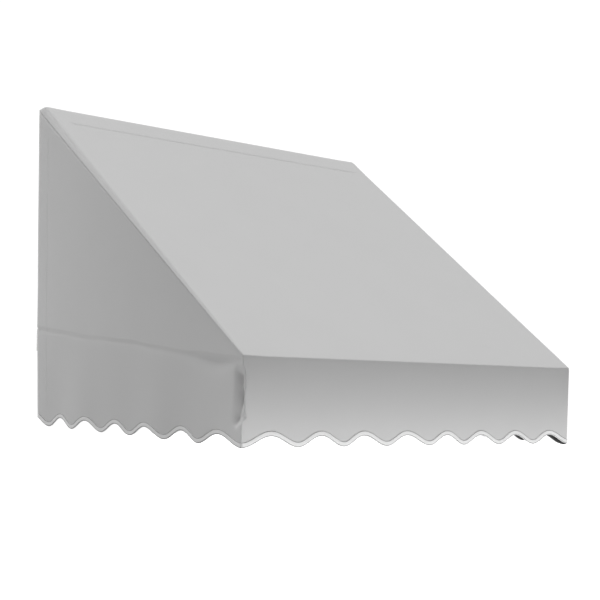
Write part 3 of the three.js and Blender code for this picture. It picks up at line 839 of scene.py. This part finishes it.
# The faces of the inner leg take the painted shade.
leg_out, inner_face = tape_section[:, 1], -0.0014
inner_leg = (leg_out < inner_face) & (np.roll(leg_out, -1) < inner_face)
leg_index = np.append(np.tile(inner_leg, len(hem_path) - 1), [False, False])
binding.data.polygons.foreach_set("material_index", leg_index.astype(np.int32))
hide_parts("hem_binding")


# ---------------------------------------------------------------------------------------------------
# Stitches. The thread is bonded polyester, in stitches of 3.2 mm with short gaps: two rows on the
# binding, one beside each roof seam, two across the roof at the pocket, and one down each wall hem. On
# the cover the thread is paler than the cloth, a painted lightening that offsets the shade its grains
# cast. On the binding it is near-black, painted shade for the shadow lines along the tape's top edge and
# lower fold.

def spun(name, dark, pale):
    """A thread's finish: its plies show as a fine mottle."""
    finish = Finish(name, Roughness=0.55)
    place = finish.node("ShaderNodeTexCoord").value("Object")
    tone = finish.noise(place, 900.0)
    finish.drive("Base Color", finish.mix_colors(tone, dark, pale))
    finish.drive("Normal", finish.bump(tone, 0.0001))
    return finish.material


# The cover's thread is paler than the cloth: a painted lightening that offsets the shade of the
# stitches' raised grains.
cover_thread_painted_light = spun("cover_thread_painted_light", grey(0.62), grey(0.72))
# Near-black thread, painted shade: it stands for the shadow lines along the tape's edges.
binding_thread_painted_shade = spun("binding_thread_painted_shade", grey(0.05), grey(0.12))

# One stitch: a grain of thread that dips into the cloth at its two ends.
stitch_pitch = 0.0032
thread_lift = 0.0002
grain_sides = 5
grain_along = np.array([-1.0, -0.62, 0.62, 1.0])[:, None] * 0.00125
grain_round = np.arange(grain_sides) * 2 * math.pi / grain_sides
grain_width = np.array([0.3, 1.0, 1.0, 0.3])[:, None] * 0.00045
grain_lift = np.array([-0.9, 0.0, 0.0, -0.9])[:, None] * 0.0003


def sew(name, lines, material, heavy):
    """Rows of stitches: along each line of places and outward directions, one grain at each stitch's
    pitch. A heavy thread is thicker by the number given."""
    places, faces = [], []
    row, turn = np.meshgrid(np.arange(3), np.arange(grain_sides), indexing="ij")
    following = (turn + 1) % grain_sides
    near, far = row * grain_sides, (row + 1) * grain_sides
    sides = np.stack([near + turn, near + following, far + following, far + turn], axis=-1)
    sides = sides.reshape(-1, 4)
    ends = [[4, 3, 2, 1, 0], [15, 16, 17, 18, 19]]
    width = heavy * grain_width
    grain_points = grain_width.size * grain_sides
    count = 0
    for line, outward in lines:
        middle = along_path(line, line, stitch_pitch)
        out = unit(along_path(line, outward, stitch_pitch))
        tangent = unit(np.gradient(middle, axis=0))
        across = unit(np.cross(out, tangent))
        out = np.cross(tangent, across)
        grain = (
            middle[:, None, None]
            + tangent[:, None, None] * (grain_along + 0 * grain_round)[None, :, :, None]
            + across[:, None, None] * (width * np.cos(grain_round))[None, :, :, None]
            + out[:, None, None] * (width * np.sin(grain_round) + grain_lift)[None, :, :, None])
        places.append(grain.reshape(-1, 3))
        starts = count + np.arange(len(middle)) * grain_points
        faces.extend((starts[:, None, None] + sides).reshape(-1, 4).tolist())
        for end in ends:
            faces.extend((starts[:, None] + np.array(end)).tolist())
        count += len(middle) * grain_points
    mesh = bpy.data.meshes.new(name)
    mesh.from_pydata(np.concatenate(places).tolist(), [], faces)
    mesh.polygons.foreach_set("use_smooth", np.ones(len(faces), bool))
    mesh.materials.append(material)
    piece = bpy.data.objects.new(name, mesh)
    bpy.context.scene.collection.objects.link(piece)
    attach(piece, "root")
    return piece


def surface_normals(places):
    """Outward direction at each place of a sheet's grid: the cross product of its two directions."""
    return unit(np.cross(np.gradient(places, axis=1), np.gradient(places, axis=0)))


top_normals = surface_normals(top_places)
seam_lines = []
seam_rows = slice(roof_start + 1, wrap_start + 4)
for column in (5, top_places.shape[1] - 6):
    outward = top_normals[seam_rows, column]
    seam_lines.append((top_places[seam_rows, column] + thread_lift * outward, outward))

# Both of the pocket's rows follow one row of the cloth, 75 mm down the roof from the rail's axis, and
# the second is 6 mm lower.
pocket_row = wrap_start - 5
pocket_columns = slice(14, top_places.shape[1] - 14)
outward = top_normals[pocket_row, pocket_columns]
line = top_places[pocket_row, pocket_columns] + thread_lift * outward
seam_lines.append((line, outward))
seam_lines.append((line + 0.006 * np.array([0, -math.cos(slope), -math.sin(slope)]), outward))

for places, column in ((left_places, 7), (right_places, right_places.shape[1] - 8)):
    hem_rows = slice(6, places.shape[0] - 2)
    outward = surface_normals(places)[hem_rows, column]
    seam_lines.append((places[hem_rows, column] + thread_lift * outward, outward))
sew("seam_stitches", seam_lines, cover_thread_painted_light, 0.7)
# The two rows on the binding: the upper one paints the shadow line along the tape's top edge, the lower
# one the shade under its fold.
upper_row = hem_path + hem_up * 0.0112 + hem_out * 0.0013
lower_row = hem_path + hem_up * 0.0010 + hem_out * 0.0014
sew("binding_stitches", [(upper_row, hem_out), (lower_row, hem_out)], binding_thread_painted_shade, 1.35)


# ---------------------------------------------------------------------------------------------------
# Studio: a pale floor well below the awning, a white surround, a broad soft key almost overhead, a soft
# fill from the wall's side at left and right, and a low strip in front of the valance.

floor_mesh = bpy.data.meshes.new("floor")
floor_reach = 30.0
floor_z = hem_low - 1.6
floor_corners = [(-1, -1), (1, -1), (1, 1), (-1, 1)]
floor_places = [(x * floor_reach, y * floor_reach, floor_z) for x, y in floor_corners]
floor_mesh.from_pydata(floor_places, [], [(0, 1, 2, 3)])
floor = bpy.data.objects.new("floor", floor_mesh)
bpy.context.scene.collection.objects.link(floor)
floor_paint = Finish(
    "floor", Base_Color=grey(0.9), Roughness=0.9, Emission_Color=grey(1.0), Emission_Strength=0.75)
floor_mesh.materials.append(floor_paint.material)
floor.visible_diffuse = False

world = bpy.data.worlds.new("studio")
bpy.context.scene.world = world
world.use_nodes = True
sky = world.node_tree
background = sky.nodes["Background"]
seen = sky.nodes.new("ShaderNodeLightPath")
level = sky.nodes.new("ShaderNodeMix")
lit_strength, seen_strength = 0.28, 1.05
level.inputs[2].default_value = lit_strength
level.inputs[3].default_value = seen_strength
sky.links.new(seen.outputs["Is Camera Ray"], level.inputs[0])
sky.links.new(level.outputs[0], background.inputs["Strength"])
background.inputs["Color"].default_value = (1, 1, 1, 1)


def turned_to(light, at, towards):
    """Places a light so that it shines from one point towards another."""
    turn = (Vector(towards) - Vector(at)).to_track_quat("-Z", "Y")
    light.matrix_world = Matrix.Translation(at) @ turn.to_matrix().to_4x4()
    light.visible_camera = False
    bpy.context.scene.collection.objects.link(light)


def softbox(name, at, towards, width, height, power):
    """An area light that faces a point."""
    data = bpy.data.lights.new(name, "AREA")
    data.shape = "RECTANGLE"
    data.size = width
    data.size_y = height
    data.energy = power
    turned_to(bpy.data.objects.new(name, data), at, towards)


key_data = bpy.data.lights.new("key", "SUN")
key_data.energy = 3.03
key_data.angle = math.radians(36)
turned_to(bpy.data.objects.new("key", key_data), (-0.1, 0.35, 4.0), (0, 0, 0))
softbox("left_fill", (-2.8, 1.7, -0.2), (-0.6, -0.2, -0.4), 1.6, 1.6, 37)
softbox("right_fill", (3.4, 1.2, -0.2), (0.6, -0.3, -0.5), 1.8, 1.8, 30)
softbox("low_strip", (0.15, -1.195, -0.985), (0.15, -0.95, -0.87), 2.1, 0.10, 2.5)
bpy.context.scene.view_settings.view_transform = "Standard"
